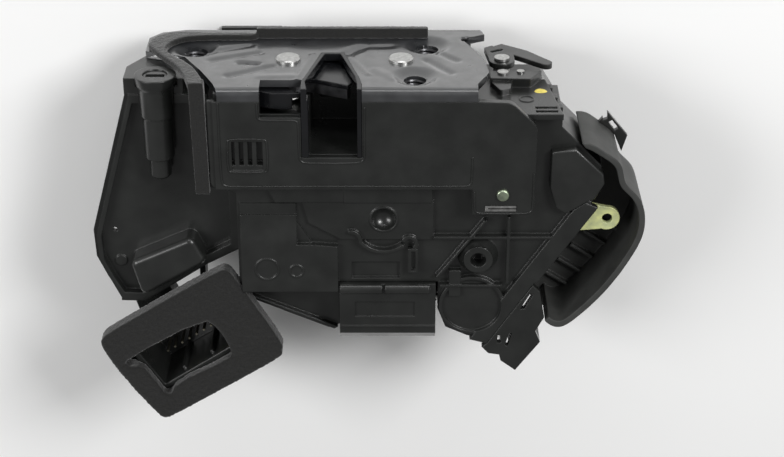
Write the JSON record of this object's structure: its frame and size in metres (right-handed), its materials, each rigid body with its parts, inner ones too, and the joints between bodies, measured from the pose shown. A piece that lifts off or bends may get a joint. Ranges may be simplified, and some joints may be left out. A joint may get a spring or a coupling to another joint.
{
  "type": "car door latch with locking module",
  "caption": "Car door latch: a steel lock plate with a fishmouth slot, a rotating catch and pawl, and a moulded housing with locking motor, connector and release levers.",
  "frame": {"origin": "on the lock plate's outer face, at the middle of a latched striker in the fishmouth slot", "axes": "+Y out of the lock plate's outer face, +Z from the latched striker to the slot's mouth, which is also up out of the front cover, +X towards the guard of the inside release lever"},
  "size_m": [0.1893, 0.1334, 0.0625],
  "materials": {
    "plate_steel": "semi-gloss black coat",
    "bright_steel": "bright",
    "dark_steel": "phosphated",
    "bare_steel": "satin",
    "black_plastic": "satin moulded",
    "liner_plastic": "gloss",
    "soft_rubber": "matt",
    "foam": "matt foam",
    "stud_zinc": "greenish satin",
    "motor_can": "satin",
    "white_plastic": "satin moulded",
    "pin_metal": "bright",
    "lever_zinc": "yellow zinc, satin"
  },
  "bodies": {
    "latch_body": {"lock_plate": "plate_steel", "catch_rivet": "bright_steel", "pawl_rivet": "bright_steel", "catch_spring": "bare_steel", "pawl_spring": "bare_steel", "latch_carrier": "black_plastic", "latch_back_plate": "bare_steel", "slot_liner": "liner_plastic", "striker_buffer": "soft_rubber", "plate_seal": "foam", "front_cover": "black_plastic", "cover_stud": "stud_zinc", "cover_clip": "bright_steel", "main_housing": "black_plastic", "rear_shell": "black_plastic", "housing_screws": "bare_steel", "motor_cover": "black_plastic", "lock_motor": "motor_can", "wheel_axle": "bare_steel", "microswitches": "black_plastic", "contact_strip": "pin_metal", "upper_cover": "black_plastic", "upper_rivets": "bright_steel", "outside_lever_pin": "bright_steel", "outside_lever_spring": "bright_steel", "inside_lever_pin": "bare_steel", "lever_cap": "black_plastic", "cable_guard": "black_plastic", "slotted_ear": "black_plastic", "cable_clip": "black_plastic", "connector_arm": "black_plastic", "cylinder_tube": "black_plastic", "connector_socket": "black_plastic", "connector_pins": "pin_metal", "connector_seal": "foam"},
    "catch": {"catch": "dark_steel", "catch_cover": "liner_plastic"},
    "pawl": {"pawl": "dark_steel", "pawl_cover": "liner_plastic"},
    "inside_lever": {"inside_lever": "lever_zinc"},
    "outside_lever": {"outside_lever": "black_plastic"},
    "lock_rotor": {"lock_rotor": "black_plastic"},
    "worm": {"worm": "motor_can"},
    "worm_wheel": {"worm_wheel": "white_plastic"},
    "lock_slider": {"lock_slider": "white_plastic"}
  },
  "joints": [
    {"name": "catch_turn", "type": "hinge", "parent": "latch_body", "child": "catch", "pos_m": [-0.0154, -0.006, -0.0013], "axis": [0, 1, 0], "range_deg": [0, 60], "stiffness_Nm_per_rad": 0.03, "springref_deg": -22.92, "deforming": ["catch_spring"]},
    {"name": "pawl_turn", "type": "hinge", "parent": "latch_body", "child": "pawl", "pos_m": [0.0224, -0.006, -0.0013], "axis": [0, 1, 0], "range_deg": [-3, 6.4], "stiffness_Nm_per_rad": 0.05, "deforming": ["pawl_spring"]},
    {"name": "inside_lever_turn", "type": "hinge", "parent": "latch_body", "child": "inside_lever", "pos_m": [0.0715, -0.05, 0.0105], "axis": [0, 0, 1], "range_deg": [-30, 0], "stiffness_Nm_per_rad": 0.03, "springref_deg": 17.19},
    {"name": "outside_lever_turn", "type": "hinge", "parent": "latch_body", "child": "outside_lever", "pos_m": [0.057, -0.0063, -0.0145], "axis": [0, 1, 0], "range_deg": [0, 20], "stiffness_Nm_per_rad": 0.02, "springref_deg": -22.92, "deforming": ["outside_lever_spring"]},
    {"name": "lock_rotor_turn", "type": "hinge", "parent": "latch_body", "child": "lock_rotor", "pos_m": [-0.0589, -0.007, 0.0094], "axis": [0, 1, 0], "range_deg": [-45, 45]},
    {"name": "worm_wheel_turn", "type": "hinge", "parent": "latch_body", "child": "worm_wheel", "pos_m": [0.0475, -0.0755, 0.004], "axis": [0, 0, 1], "range_deg": [0, 40]},
    {"name": "worm_turn", "type": "hinge", "parent": "latch_body", "child": "worm", "pos_m": [0.0475, -0.08805, 0.004], "axis": [1, 0, 0], "range_deg": [-965, 0]},
    {"name": "slider_travel", "type": "slide", "parent": "latch_body", "child": "lock_slider", "axis": [-1, 0, 0], "range_m": [0, 0.0043]}
  ],
  "couplings": [
    {"joint": "worm_turn", "follows": "worm_wheel_turn", "ratio": -24},
    {"joint": "slider_travel", "follows": "worm_wheel_turn", "m_per_rad": 0.006}
  ]
}
